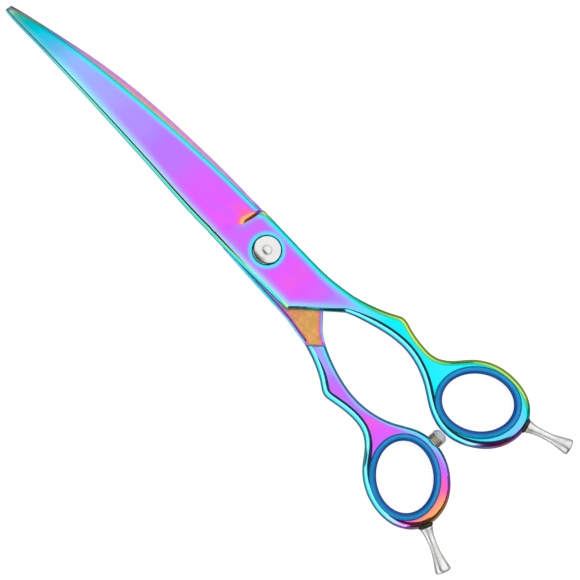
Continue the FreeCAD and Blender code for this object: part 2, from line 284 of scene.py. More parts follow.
def inward(points):
    """Inward normals of a counter-clockwise outline, lengthened at corners so offsets stay parallel."""
    before = points - np.roll(points, 1, axis=0)
    after = np.roll(points, -1, axis=0) - points
    before /= np.linalg.norm(before, axis=1)[:, None]
    after /= np.linalg.norm(after, axis=1)[:, None]
    along = before + after
    size = np.linalg.norm(along, axis=1)[:, None]
    normal = np.column_stack([-along[:, 1], along[:, 0]]) / size
    return normal * np.clip(2 / size, 1, 2)


def calmed(values, reach):
    """Lowest value within reach along a closed outline, then averaged over the same reach."""
    shifts = range(-reach, reach + 1)
    lowest = np.min([np.roll(values, s) for s in shifts], axis=0)
    return np.mean([np.roll(lowest, s) for s in shifts], axis=0)


# ---- mesh helpers

def linked(name, data):
    obj = bpy.data.objects.new(name, data)
    bpy.context.scene.collection.objects.link(obj)
    return obj


def new_object(name, verts, faces):
    mesh = bpy.data.meshes.new(name)
    mesh.from_pydata([tuple(v) for v in verts], [], [tuple(f) for f in faces])
    mesh.validate()
    mesh.polygons.foreach_set("use_smooth", [True] * len(mesh.polygons))
    return linked(name, mesh)


def strip(count, width, closed_rows=False, closed_columns=True):
    """Quads between count rows of width vertices each, numbered row by row."""
    faces = []
    for r in range(count if closed_rows else count - 1):
        for c in range(width if closed_columns else width - 1):
            a = r * width + c
            b = r * width + (c + 1) % width
            up = ((r + 1) % count) * width
            faces.append((a, b, up + (c + 1) % width, up + c))
    return faces


def loft(name, rows, hollow=False):
    """Object through equal closed rows: both ends filled, or the last row joined to the first."""
    width = len(rows[0])
    last = (len(rows) - 1) * width
    faces = strip(len(rows), width, closed_rows=hollow)
    if not hollow:
        faces += [tuple(range(width))[::-1], tuple(range(last, last + width))]
    return new_object(name, np.vstack(rows), faces)


def weld(obj, distance=1e-6):
    """Join vertices in one place, and turn all faces outwards."""
    mesh = bmesh.new()
    mesh.from_mesh(obj.data)
    bmesh.ops.remove_doubles(mesh, verts=mesh.verts, dist=distance)
    bmesh.ops.dissolve_degenerate(mesh, edges=mesh.edges, dist=distance)
    bmesh.ops.recalc_face_normals(mesh, faces=mesh.faces)
    mesh.to_mesh(obj.data)
    mesh.free()
    return obj


def inside(points, loop):
    """Which points lie inside a closed outline."""
    x, y = points[:, 0][:, None], points[:, 1][:, None]
    ax, ay = loop.T
    bx, by = np.roll(loop, -1, axis=0).T
    crosses = (ay > y) != (by > y)
    hit = x < ax + (y - ay) * (bx - ax) / np.where(by == ay, 1, by - ay)
    return np.sum(crosses & hit, axis=1) % 2 == 1


def cap(loop):
    """Triangles that fill an outline, through a grid of points inside it."""
    low = loop.min(axis=0) + 0.45 * CAP_SPACING
    high = loop.max(axis=0) - 0.45 * CAP_SPACING
    grid = np.mgrid[low[0]:high[0]:CAP_SPACING, low[1]:high[1]:CAP_SPACING].reshape(2, -1).T
    grid = grid[inside(grid, loop)]
    clear = np.array([np.min(np.linalg.norm(loop - point, axis=1)) > CAP_SPACING / 2 for point in grid], bool)
    points = [Vector(p) for p in loop] + [Vector(p) for p in grid[clear]]
    result = delaunay_2d_cdt(points, [], [list(range(len(loop)))], 1, 1e-9)
    return np.array([tuple(v) for v in result[0]]), result[2]


def store(obj, name, values):
    """Keep a number per vertex for the material."""
    obj.data.attributes.new(name, "FLOAT", "POINT").data.foreach_set("value", values)


def boolean(target, cutter, operation):
    """Apply a boolean with a cutter that is then removed."""
    modifier = target.modifiers.new("cut", "BOOLEAN")
    modifier.object = cutter
    modifier.operation = operation
    modifier.solver = "EXACT"
    mesh = bpy.data.meshes.new_from_object(target.evaluated_get(bpy.context.evaluated_depsgraph_get()))
    target.modifiers.clear()
    target.data = mesh
    bpy.data.objects.remove(cutter)


# ---- forging

def top_level(x):
    return between((HANDLE_TOP, PLATE_TOP), smoothstep(*SHANK_X, x))


def inset(points, width):
    """Move a counter-clockwise outline inwards by the width of each edge, which starts at its point."""
    along = np.roll(points, -1, axis=0) - points
    along /= np.linalg.norm(along, axis=1)[:, None]
    after = np.column_stack([-along[:, 1], along[:, 0]])
    before = np.roll(after, 1, axis=0)
    width_before = np.roll(width, 1)
    lean = np.sum(before * after, axis=1)
    straight = 1 - lean ** 2 < 0.02
    rest = np.where(straight, 1, 1 - lean ** 2)
    share_before = np.where(straight, width_before / 2, (width_before - width * lean) / rest)
    share_after = np.where(straight, width / 2, (width - width_before * lean) / rest)
    return points + before * share_before[:, None] + after * share_after[:, None]


def margin(share, crease, width, drop):
    """How far in and down the rounded margin is, at a share of its way from the crease to the wall."""
    angle = crease + (math.pi / 2 - crease) * share
    reach = width * (1 - np.sin(angle)) / (1 - np.sin(crease))
    return reach, drop * (np.cos(crease) - np.cos(angle)) / np.cos(crease)


def margin_rows(points, width, drop, crease):
    """Rows of the outer face's margin, from its inner line to the wall."""
    row = inset(points, width + FLAT_STRIP)
    rows = [np.column_stack([row, top_level(row[:, 0])])]
    for share in np.linspace(0, 1, ROUND_STEPS):
        reach, fall = margin(share, crease, width, drop)
        row = inset(points, reach)
        rows.append(np.column_stack([row, top_level(row[:, 0]) - fall]))
    return rows


def lower_rows(points, width, crease, wall, ceiling):
    """Rows of the inner side's margin, up to a ceiling: full on the handle, small round the inner face."""
    past_step = points[:, 0] - np.interp(points[:, 1], wall[:, 1], wall[:, 0])
    plate_share = smoothstep(*STEP_MERGE, past_step)
    near_blade = smoothstep(*BLADE_MERGE, points[:, 0]) * (points[:, 1] > 0)
    small = np.where(inward(points)[:, 1] > 0, *INNER_ROUND) * (1 - near_blade)
    to_choil = smoothstep(*CHOIL_MERGE, points[:, 0]) * (points[:, 1] < 0)
    small = calmed(between((small, CHOIL_ROUND), to_choil), 3)
    small[-PLUNGE_POINTS - 1:] = 0
    rise = np.minimum(INNER_ROUND_H, ceiling - INNER - MARGIN_GAP)
    rows = []
    for share in np.linspace(1, 0, ROUND_STEPS):
        handle_inset, handle_rise = margin(share, crease, width, HANDLE_TOP)
        plate_inset = small * (1 - math.sin(share * math.pi / 2))
        plate_level = INNER + rise * (1 - math.cos(share * math.pi / 2))
        level = between((-HANDLE_TOP + handle_rise, plate_level), plate_share)
        row = inset(points, between((handle_inset, plate_inset), plate_share))
        rows.append(np.column_stack([row, level]))
    last = rows[-1].copy()
    last[:, 2] = -HANDLE_TOP
    flat = inset(points, between((width, small), plate_share) + FLAT_STRIP)
    return rows + [last, np.column_stack([flat, last[:, 2]])]


def clear_of_corners(points, corners):
    """Leave out points so near a corner that their inset would cross the inset of its other side."""
    keep = np.ones(len(points), bool)
    turn = np.abs(turns(points))
    for corner in np.flatnonzero(corners):
        reach = 1.1 * (PLATE_WIDTH + FLAT_STRIP) * math.tan(turn[corner] / 2)
        near = np.linalg.norm(points - points[corner], axis=1) < reach
        near[corner] = False
        keep &= ~near
    return points[keep], corners[keep]


def plate_outline(outline):
    """The lever's outline with the blade cut off at the plunge, and the choil's place."""
    points, corners = outline
    marks = points[corners]
    near = marks[(marks[:, 0] > 0) & (marks[:, 0] < CHOIL_BEFORE) & (marks[:, 1] < 0)]
    choil = near[np.argmin(near[:, 1])]
    spine_x = choil[0] + PLUNGE_SHIFT[-1]
    kept = (points[:, 0] < choil[0] + 1e-6) | ((points[:, 1] > 0) & (points[:, 0] < spine_x))
    order = np.flatnonzero(kept)
    gap = np.flatnonzero(np.diff(order) > 1)[0] + 1
    points = np.roll(points[order], -gap, axis=0)
    corners = np.roll(corners[order], -gap)
    low, high = points[-1], points[0]
    corners[-1] = False
    points, corners = clear_of_corners(points, corners)
    past_plunge = np.linalg.norm(points - high, axis=1) > PLUNGE_CLEAR
    past_plunge[0] = True
    points = points[past_plunge]
    share = np.linspace(*PLUNGE_SPAN, PLUNGE_POINTS)
    shift = np.interp(share, PLUNGE_SHARE, PLUNGE_SHIFT)
    curve = np.column_stack([low[0] + shift, low[1] + (high[1] - low[1]) * share])
    return np.vstack([points, curve]), choil


def plate(name, points, wall, rear):
    """Pivot area, shank and ring as one rounded slab."""
    shank = 1 - smoothstep(*ROUND_X, points[:, 0])
    to_spine = smoothstep(*SPINE_MERGE, points[:, 0]) * (points[:, 1] > 0)
    side = smoothstep(-0.6, 0.6, -inward(points)[:, 1] * (-1 if rear else 1))
    shank_width = between(SHANK_WIDTH, side)
    width = between((between((PLATE_WIDTH, shank_width), shank), BEVEL_WIDTH[0]), to_spine)
    drop = between((between(ROUND_DROP[::-1], shank), BEVEL_DROP[0]), to_spine)
    bend = turns(points) / OUTLINE_STEP
    curved = (bend > 0) & (np.abs(turns(points)) < math.radians(15))
    width = calmed(np.where(curved, np.minimum(width, TIGHT_BEND / np.maximum(bend, 1e-6)), width), 4)
    at_plunge = np.arange(len(points)) >= len(points) - PLUNGE_POINTS - 1
    width = np.where(at_plunge, PLUNGE_MARGIN, width)
    drop = np.where(at_plunge, PLUNGE_DROP, drop)
    crease = between((between(CREASE[::-1], shank), BEVEL_START), to_spine)
    upper = margin_rows(points, width, drop, crease)
    lower = lower_rows(points, width, crease, wall, upper[-1][:, 2])
    rows = upper + lower
    verts = np.vstack(rows)
    faces = [face[::-1] for face in strip(len(rows), len(points))]
    top_verts, top_faces = cap(upper[0][:, :2])
    bottom_verts, bottom_faces = cap(lower[-1][:, :2])
    start = len(verts)
    top_cap = np.column_stack([top_verts, top_level(top_verts[:, 0])])
    bottom_cap = np.column_stack([bottom_verts, np.full(len(bottom_verts), -HANDLE_TOP)])
    faces += [[start + i for i in face] for face in top_faces]
    start += len(top_cap)
    faces += [[start + i for i in face][::-1] for face in bottom_faces]
    return weld(new_object(name, np.vstack([verts, top_cap, bottom_cap]), faces))


def blade_sides(points, choil):
    """Edge and spine of the blade as functions of x, read from the lever's outline."""
    edge = []
    spine = []
    stations = np.linspace(choil[0] + 0.5 * MM, points[:, 0].max() - 0.02 * MM, BLADE_STEPS)
    closed = np.vstack([points, points[:1]])
    for x in stations:
        side = (closed[:-1, 0] - x) * (closed[1:, 0] - x) <= 0
        a, b = closed[:-1][side], closed[1:][side]
        share = (x - a[:, 0]) / np.where(a[:, 0] == b[:, 0], 1, b[:, 0] - a[:, 0])
        y = a[:, 1] + (b[:, 1] - a[:, 1]) * share
        edge.append(y.min())
        spine.append(y.max())
    return stations, np.array(edge), np.array(spine)


def blade(name, points, choil):
    """Ground blade: flat inner face, convex edge, crest and bevelled spine, with its run-in at the plunge."""
    stations, edge_y, spine_y = blade_sides(points, choil)
    tip = points[:, 0].max()
    plunge_end = choil[0] + PLUNGE_SHIFT[-1]
    plate_spine = np.interp(plunge_end - 0.3 * MM, stations, spine_y)
    step = plate_spine - np.interp(plunge_end + 0.3 * MM, stations, spine_y)
    ease = 1 - smoothstep(plunge_end, plunge_end + SPINE_EASE, stations)
    spine_y = spine_y + step * (stations > plunge_end) * ease
    across = np.concatenate([
        np.linspace(0, EDGE_REACH * 3, 12)[:-1],
        np.linspace(EDGE_REACH * 3, 0.98, 30),
        [1.0],
    ])
    start = choil[0] + np.interp(across, PLUNGE_SHARE, PLUNGE_SHIFT)
    run_in = np.linspace(0, 1, RUN_IN_STEPS) ** 1.8 * PLUNGE_LENGTH[1]

    def side(values):
        """The blade's side as a function of x, run on straight before the first station."""
        slope = (values[3] - values[0]) / (stations[3] - stations[0])
        return lambda x: np.where(x < stations[0], values[0] + slope * (x - stations[0]),
                                  np.interp(x, stations, values))

    begin = start + run_in[-1]
    places = [start + shift for shift in np.array(LEAD)] + [start + shift for shift in run_in]
    places += [begin + (tip - begin) * share for share in np.linspace(0, 1, BLADE_STEPS)[1:]]
    rows = [blade_row(x, across, start, stations[0], tip, side(edge_y), side(spine_y)) for x in places]
    return weld(loft(name, rows))


def blade_row(x, across, start, first, tip, edge_at, spine_at):
    """One closed ring of vertices round the blade."""
    share = np.clip((x - first) / (tip - first), 0, 1)
    top = between((BLADE_TOP, TIP_TOP), share)
    bevel = between(BEVEL_WIDTH, share)
    drop = between(BEVEL_DROP, share)
    edge = edge_at(x)
    crest = spine_at(x) - bevel
    y = edge + (crest - edge) * across
    profile = EDGE_SWELL * (1 - np.exp(-across / EDGE_REACH)) + (1 - EDGE_SWELL) * across
    ground = INNER + EDGE_T + (top - INNER - EDGE_T) * profile
    length = between(PLUNGE_LENGTH, smoothstep(*RUN_OUT, across))
    out = np.clip((x - start) / length, 0, 1)
    left = between(((1 - out) ** PLUNGE_POWER, 1 - smoothstep(0, 1, out)), smoothstep(*RUN_EASE, across))
    level = ground + (PLATE_TOP - 0.01 * MM - ground) * left
    face = np.column_stack([x, y, level])
    angle = np.linspace(BEVEL_START, math.pi / 2, BEVEL_STEPS)[1:]
    reach = bevel[-1] * (np.sin(angle) - math.sin(BEVEL_START)) / (1 - math.sin(BEVEL_START))
    fall = drop[-1] * (math.cos(BEVEL_START) - np.cos(angle)) / math.cos(BEVEL_START)
    spine = np.column_stack([np.full(len(angle), x[-1]), crest[-1] + reach, level[-1] - fall])
    inner_share = np.linspace(0, 1, 12)
    inner_x = x[-1] + (x[0] - x[-1]) * inner_share
    inner_y = spine_at(inner_x) * (1 - inner_share) + edge_at(inner_x) * inner_share
    hollow = INNER + INNER_HOLLOW * 4 * inner_share * (1 - inner_share)
    inner = np.column_stack([inner_x, inner_y, hollow])
    return np.vstack([face, spine, inner])


def step_wall(node, rear):
    """Line of the step in the shank, where it drops to its inner face, from -Y to +Y."""
    loop = max(section(node, -1.0 * MM, rear), key=area)
    wall = natural_spline(max(between_corners(loop), key=lambda piece: piece[:, 0].mean()), OUTLINE_STEP)
    return wall if wall[0, 1] < wall[-1, 1] else wall[::-1]


def run_on(end, before):
    """Point past the end of a line, in the line's direction."""
    return end + (end - before) / np.linalg.norm(end - before) * 3 * MM


def step_block(wall, reach):
    """What is cut away below the inner face, from the step to past the plunge."""
    side = 14 * MM
    first = run_on(wall[0], wall[1])
    last = run_on(wall[-1], wall[-2])
    corners = [(last[0] + MM, side), (reach, side), (reach, -side), (first[0] + MM, -side)]
    rows = []
    for level, shift in STEP_PROFILE:
        line = np.vstack([[first], wall, [last]]) + (shift, 0)
        outline = np.vstack([line, corners])
        rows.append(np.column_stack([outline, np.full(len(outline), level)]))
    outline = rows[-1][:, :2]
    n = len(outline)
    top_verts, triangles = cap(outline)
    start = n * len(rows)
    faces = strip(len(rows), n) + [tuple(range(n))]
    faces += [tuple(start + i for i in triangle) for triangle in triangles]
    top = np.column_stack([top_verts, np.full(len(top_verts), INNER)])
    return weld(new_object("step_block", np.vstack(rows + [top]), faces))


def mark_rims(obj, outline):
    """Store each vertex's distance to the parts of the outline that face -Y and +Y, in mm."""
    verts = vertices(obj)[:, :2]
    ends = np.roll(outline, -1, axis=0)
    along = ends - outline
    length2 = np.sum(along ** 2, axis=1)
    faces_up = along[:, 0] * area(outline) < 0
    chunk = 2000  # vertices worked out at once
    for name, chosen in (("low_rim", ~faces_up), ("high_rim", faces_up)):
        a, d, squared = outline[chosen], along[chosen], length2[chosen]
        distance = np.empty(len(verts))
        for start in range(0, len(verts), chunk):
            part = verts[start:start + chunk, None]
            t = np.clip(np.sum((part - a) * d, axis=2) / squared, 0, 1)
            gap = np.linalg.norm(part - a - t[..., None] * d, axis=2)
            distance[start:start + chunk] = gap.min(axis=1)
        store(obj, name, distance / MM)


# ---- turned solids and ring parts

def lathe(name, profile, base=(0, 0, 0), direction=(0, 0, 1), steps=96, hollow=False):
    """Solid of revolution from (radius, length) points: ends closed, or a closed profile round a bore."""
    angles = np.arange(steps) * 2 * math.pi / steps
    rows = [np.column_stack([r * np.cos(angles), r * np.sin(angles), np.full(steps, s)]) for r, s in profile]
    obj = loft(name, rows, hollow)
    turn = Vector((0, 0, 1)).rotation_difference(Vector(direction)).to_matrix().to_4x4()
    obj.data.transform(Matrix.Translation(Vector(base)) @ turn)
    return weld(obj)


def rounded(points, steps=6):
    """Profile with each (radius, length, rounding) corner replaced by a small arc."""
    result = []
    for i, (r, s, *rounding) in enumerate(points):
        size = rounding[0] if rounding else 0
        if not size or i in (0, len(points) - 1):
            result.append((r, s))
            continue
        here = np.array([r, s])
        a = np.array(points[i - 1][:2]) - here
        b = np.array(points[i + 1][:2]) - here
        a = here + a / np.linalg.norm(a) * size
        b = here + b / np.linalg.norm(b) * size
        for t in np.linspace(0, 1, steps):
            result.append(tuple((1 - t) ** 2 * a + 2 * t * (1 - t) * here + t * t * b))
    return result


def ellipse_of(loop):
    """Centre, half lengths and tilt of the ellipse that an outline follows."""
    offset = loop.mean(axis=0)
    x, y = ((loop - offset) / MM).T
    terms = np.column_stack([x * x, x * y, y * y, x, y])
    a, b, c, d, e = np.linalg.lstsq(terms, np.ones(len(x)), rcond=None)[0]
    form = np.array([[a, b / 2], [b / 2, c]])
    centre = np.linalg.solve(2 * form, [-d, -e])
    level = 1 + centre @ form @ centre
    values, vectors = np.linalg.eigh(form)
    halves = np.sqrt(level / values) * MM
    return centre * MM + offset, halves, math.atan2(vectors[1, 0], vectors[0, 0])


def ellipse_row(ellipse, grow, level, steps=200):
    """Closed row of points on an ellipse that is larger by grow all round."""
    centre, halves, tilt = ellipse
    angles = np.arange(steps) * 2 * math.pi / steps
    u = (halves[0] + grow) * np.cos(angles)
    v = (halves[1] + grow) * np.sin(angles)
    x = centre[0] + u * math.cos(tilt) - v * math.sin(tilt)
    y = centre[1] + u * math.sin(tilt) + v * math.cos(tilt)
    return np.column_stack([x, y, np.full(steps, level)])


def ring_sizes(insert, rear):
    """The finger hole's ellipse, and how far the insert's wall and lip reach beyond it."""
    wall, hole = sorted(section(insert, 0.1 * MM, rear), key=area, reverse=True)
    lip = max(section(insert, 2.2 * MM, rear), key=area)
    hole = ellipse_of(hole)
    reach = [ellipse_of(loop)[1].max() - hole[1].max() for loop in (wall, lip)]
    return hole, reach[0], reach[1]


def ring_cutter(insert, rear):
    """Bore and lip seats that the insert needs, with a broken edge on both faces."""
    hole, wall, lip = ring_sizes(insert, rear)
    half = [
        (SEAT_FLOOR, wall), (SEAT_FLOOR, lip), (HANDLE_TOP - SEAT_BREAK, lip), (HANDLE_TOP, lip + SEAT_BREAK),
        (HANDLE_TOP + MM, lip + SEAT_BREAK + MM),
    ]
    profile = [(-level, grow) for level, grow in half[::-1]] + half
    return loft("ring_cutter", [ellipse_row(hole, grow + SLACK, level) for level, grow in profile])


def ring_insert(side):
    """Soft sleeve with rolled lips."""
    name = side + "_ring_insert"
    hole, wall, lip = ring_sizes(name, side == "rear")
    top = HANDLE_TOP + LIP_PROUD
    half = [
        (0.0, 0.0), (0.0, 0.35 * top), (0.03 * MM, 0.6 * top), (0.16 * MM, 0.8 * top), (0.4 * MM, 0.93 * top),
        (0.75 * MM, 0.99 * top), (1.15 * MM, top), (1.6 * MM, 0.985 * top), (1.95 * MM, 0.93 * top),
        (lip - 0.06 * MM, 0.86 * top), (lip, 0.79 * top), (lip, SEAT_FLOOR), (wall, SEAT_FLOOR),
    ]
    profile = half + [(grow, -level) for grow, level in half[:0:-1]]
    rows = [ellipse_row(hole, grow, level) for grow, level in profile]
    obj = loft(name + "_sleeve", rows, hollow=True)
    store(obj, "across", np.repeat([grow / lip for grow, _ in profile], len(rows[0])))
    weld(obj).data.transform(stance(side == "rear"))
    return obj


def box_centre(node):
    low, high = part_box(node)
    return (low + high) / 2


def box_radius(node):
    low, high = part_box(node)
    return (high.x - low.x) / 2


def vertices(obj):
    return np.array([v.co for v in obj.data.vertices])


def rest_axis(side):
    """Seat on the ring and outward direction of a finger rest."""
    washer = box_centre(side + "_rest_washer")
    verts = vertices(NODES[side + "_finger_rest"])
    apex = verts[np.argmax(np.linalg.norm(verts - washer, axis=1))]
    direction = (Vector(apex) - washer).normalized()
    lengths = vertices(NODES[side + "_rest_washer"]) @ np.array(direction)
    return washer + direction * (lengths.min() - direction.dot(washer)), direction


def bumper_seat():
    return Vector((box_centre("bumper_screw").x, BUMPER_SEAT_Y, MID))


def stance(rear):
    """Placement of a lever that was drawn in the front lever's stance."""
    turn = Matrix.Rotation(math.pi, 4, "X") if rear else Matrix.Identity(4)
    return Matrix.Translation((0, 0, MID)) @ turn


def smoothed(obj, sharp=11.5):
    """Shade smooth between edges sharper than an angle in degrees."""
    obj.data.polygons.foreach_set("use_smooth", [True] * len(obj.data.polygons))
    obj.data.set_sharp_from_angle(angle=math.radians(sharp))
    normals = obj.modifiers.new("normals", "WEIGHTED_NORMAL")
    normals.keep_sharp = True
    normals.weight = 80
    return obj


# ---- levers

def without_seats(outline, seats):
    """Leave out what spot faces and sockets take from an outline, so that it runs on smoothly."""
    for base, direction in seats:
        base, direction = np.array(base)[:2], np.array(direction)[:2]
        along = (outline - base) @ direction
        across = (outline - base) @ (-direction[1], direction[0])
        outline = outline[(np.abs(across) > SEAT_GAP) | (np.abs(along) > SEAT_REACH)]
    return outline


def forging(name, rear):
    """One lever's whole metal body."""
    side = name.split("_")[0]
    seats = [rest_axis(side)]
    if rear:
        seats.append((bumper_seat(), Vector((0, -1, 0))))
        seats = [(turn_over(base), turn_over(direction)) for base, direction in seats]
    outer = max(section(name, SECTION, rear), key=area)
    outline = smooth_outline(without_seats(outer, seats))
    points, choil = plate_outline(outline)
    wall = step_wall(name, rear)
    body = plate(name + "_forging", points, wall, rear)
    boolean(body, blade("blade", outline[0], choil), "UNION")
    boolean(body, step_block(wall, choil[0] + PLUNGE_SHIFT[-1] + MM), "DIFFERENCE")
    boolean(body, ring_cutter(side + "_ring_insert", rear), "DIFFERENCE")
    body.data.transform(stance(rear))
    boolean(body, lathe("spot", [(SEAT_R, 0), (SEAT_R, SEAT_REACH)], *rest_axis(side)), "DIFFERENCE")
    return body, outline[0] * ((1, -1) if rear else (1, 1))


def front_lever():
    body, outline = forging("front_blade", False)
    plate_top = MID + PLATE_TOP
    recess = [
        (BUSH_R, MID), (BUSH_R, DIAL_FLOOR), (RECESS_R, DIAL_FLOOR), (RECESS_R, plate_top - RECESS_BREAK),
        (RECESS_R + RECESS_BREAK + MM, plate_top + MM),
    ]
    boolean(body, lathe("recess", recess), "DIFFERENCE")
    mark_rims(body, outline)
    return smoothed(body)


def rear_lever():
    body, outline = forging("rear_blade", True)
    boolean(body, lathe("head_recess", HEAD_RECESS), "DIFFERENCE")
    radius = box_radius("bumper_screw") + BUMPER_PLAY
    spot = lathe("bumper_spot", [(radius, 0), (radius, BUMPER_REACH)], bumper_seat(), (0, -1, 0))
    boolean(body, spot, "DIFFERENCE")
    mark_rims(body, outline)
    return smoothed(body)


# ---- small parts

def turned(name, points, *placement, **settings):
    """Solid of revolution from points in mm."""
    return lathe(name, mm(*points), *placement, **settings)


def finger_rest(side):
    """Threaded stub, collar, waisted stem and flared end."""
    foot = rounded([
        (0, -2.5), (1.0, -2.5), (1.0, 0.9), (1.0, 1.17), (1.85, 1.17, 0.12), (2.0, 1.35, 0.12),
        (1.98, 1.6, 0.2),
    ])
    waist = natural_spline([
        (1.98, 1.6), (1.6, 3.0), (1.34, 5.2), (1.3, 7.2), (1.45, 9.6), (1.95, 12.4), (2.46, 14.8),
    ], 0.25)
    end = rounded([
        (2.46, 14.8), (2.52, 15.2, 0.2), (2.3, 15.75, 0.25), (1.4, 15.98, 0.3), (0.4, 16.08, 0.2), (0, 16.1),
    ])
    return turned(side + "_rest", foot[:-1] + [tuple(p) for p in waist] + end[1:], *rest_axis(side))


def rest_washer(side):
    points = rounded([
        (1.05, 0.03), (2.2, 0.03, 0.25), (2.42, 0.3, 0.2), (2.42, 0.85, 0.2), (2.15, 1.13, 0.25),
        (1.05, 1.13),
    ])
    return turned(side + "_washer", points, *rest_axis(side), hollow=True)


def bumper_sleeve():
    """Threaded stub and ribbed sleeve."""
    ribs = 4
    length = 2.4
    points = [(0, -1.9), (1.0, -1.9), (1.0, 0.0)]
    for i in range(ribs):
        s = i * (length / ribs)
        points += [(2.1, s + 0.02), (2.4, s + 0.14), (2.44, s + 0.3), (2.4, s + 0.46), (2.1, s + 0.58)]
    points += [(1.9, length), (0, length)]
    return turned("bumper_sleeve", points, bumper_seat(), (0, -1, 0))


def bumper_cap():
    low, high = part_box("bumper_cap")
    radius = box_radius("bumper_cap") / MM
    length = (high.y - low.y) / MM
    points = rounded([
        (0, 0), (radius - 0.15, 0, 0.1), (radius, 0.2, 0.1), (radius, length - 1.1, 0.6),
        (radius - 0.75, length - 0.15, 0.7), (radius - 1.6, length, 0.3), (0, length),
    ])
    return turned("bumper_dome", points, (box_centre("bumper_cap").x, high.y, MID), (0, -1, 0))


def dial():
    """Screw disc with a slightly crowned face and a round seat for the bolt's end."""
    low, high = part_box("tension_dial")
    radius = box_radius("tension_dial") / MM
    base = low.z / MM
    top = high.z / MM
    rim_top = top - DIAL_CROWN
    crown = [(r, top - DIAL_CROWN * (r / radius) ** 2) for r in np.linspace(radius - 0.35, 1.7, 12)]
    points = rounded([
        (1.6, base + 0.05), (1.65, base), (radius - 0.2, base, 0.12), (radius, base + 0.2, 0.12),
        (radius, rim_top - 0.3, 0.2),
    ])
    points += rounded([points[-1], (radius - 0.05, rim_top - 0.02, 0.15), crown[0]])[1:-1] + crown
    points += [(1.64, top - 0.03), (1.6, top - 0.1)]
    return turned("dial_disc", points, steps=128, hollow=True)


def pivot_bolt():
    """Flush dished head, neck, journal, and stud up through the dial."""
    head_r = box_radius("pivot_bolt") / MM
    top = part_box("tension_dial")[1].z / MM
    points = rounded([
        (0, 0.35), (1.9, 0.35, 0.1), (2.05, 0, 0.1), (head_r - 0.2, 0, 0.1), (head_r, 0.2, 0.1),
        (head_r, 1.18), (2.3, 1.18), (2.3, 2.48), (2.5, 2.48), (2.5, 4.95), (1.34, 4.95),
        (1.34, top - 0.2, 0.05), (1.26, top - 0.1, 0.05), (0.8, top - 0.04), (0, top),
    ])
    return turned("bolt_turned", points, steps=128)


# ---- materials

def operator(kind, swapped=False):
    def work(value, other):
        return value.graph.math(kind, *((other, value) if swapped else (value, other)))
    return work


class Value:
    """Output of a shader node, for use in plain arithmetic."""

    def __init__(self, graph, socket):
        self.graph = graph
        self.socket = socket

    __add__ = operator("ADD")
    __sub__ = operator("SUBTRACT")
    __rsub__ = operator("SUBTRACT", swapped=True)
    __mul__ = operator("MULTIPLY")
    __truediv__ = operator("DIVIDE")
    __pow__ = operator("POWER")
    __gt__ = operator("GREATER_THAN")
    __lt__ = operator("LESS_THAN")


class Graph:
    """Short way to add and link the shader nodes of one material."""

    def __init__(self, name):
        self.material = bpy.data.materials.new(name)
        self.material.use_nodes = True
        self.tree = self.material.node_tree
        self.shader = self.tree.nodes["Principled BSDF"]
        self.place = self.read("TexCoord", "Object")

    def add(self, kind, inputs=None, **settings):
        node = self.tree.nodes.new("ShaderNode" + kind)
        for key, value in settings.items():
            setattr(node, key, value)
        self.feed(node, inputs or {})
        return node

    def read(self, kind, output, inputs=None, **settings):
        return Value(self, self.add(kind, inputs, **settings).outputs[output])

    def feed(self, node, inputs):
        for key, value in inputs.items():
            if isinstance(value, Value):
                self.tree.links.new(value.socket, node.inputs[key])
            else:
                node.inputs[key].default_value = value

    def set(self, **inputs):
        """Feed the shader, with _ for the spaces in its sockets' names."""
        self.feed(self.shader, {key.replace("_", " "): value for key, value in inputs.items()})

    def math(self, operation, *values):
        return self.read("Math", 0, dict(enumerate(values)), operation=operation)

    def parts(self, vector):
        outputs = self.add("SeparateXYZ", {0: vector}).outputs
        return [Value(self, output) for output in outputs]

    def span(self, value, low, high, start=0.0, end=1.0, kind="SMOOTHSTEP"):
        inputs = {0: value, 1: low, 2: high, 3: start, 4: end}
        return self.read("MapRange", 0, inputs, interpolation_type=kind)

    def ramp(self, value, stops, interpolation="LINEAR"):
        """Colour ramp through (position, colour) stops."""
        node = self.add("ValToRGB", {0: value})
        ramp = node.color_ramp
        ramp.interpolation = interpolation
        while len(ramp.elements) > 1:
            ramp.elements.remove(ramp.elements[0])
        ramp.elements[0].position = stops[0][0]
        for position, _ in stops[1:]:
            ramp.elements.new(position)
        for element, (_, colour) in zip(ramp.elements, stops):
            element.color = (*colour, 1)
        return Value(self, node.outputs[0])

    def curve(self, value, low, high, stops):
        """Number read from (place, number) stops, for a value between low and high."""
        share = self.span(value, low, high, kind="LINEAR")
        grey = self.ramp(share, [((x - low) / (high - low), (n, n, n)) for x, n in stops], "EASE")
        return self.read("SeparateColor", 0, {0: grey})

    def mix(self, share, first, second):
        return self.read("Mix", 2, {0: share, 6: first, 7: second}, data_type="RGBA")

    def blend(self, share, first, second):
        return self.read("Mix", 0, {0: share, 2: first, 3: second}, data_type="FLOAT")

    def noise(self, scale, stretch=(1, 1, 1), detail=3.0):
        place = self.read("Mapping", 0, {0: self.place, 3: stretch})
        return self.read("TexNoise", 0, {"Vector": place, "Scale": scale, "Detail": detail})

    def bump(self, height, strength, distance):
        self.set(Normal=self.read("Bump", 0, {"Strength": strength, "Distance": distance, "Height": height}))

    def roughness(self, texture, low, high):
        self.set(Roughness=self.span(texture, 0.3, 0.7, low, high))


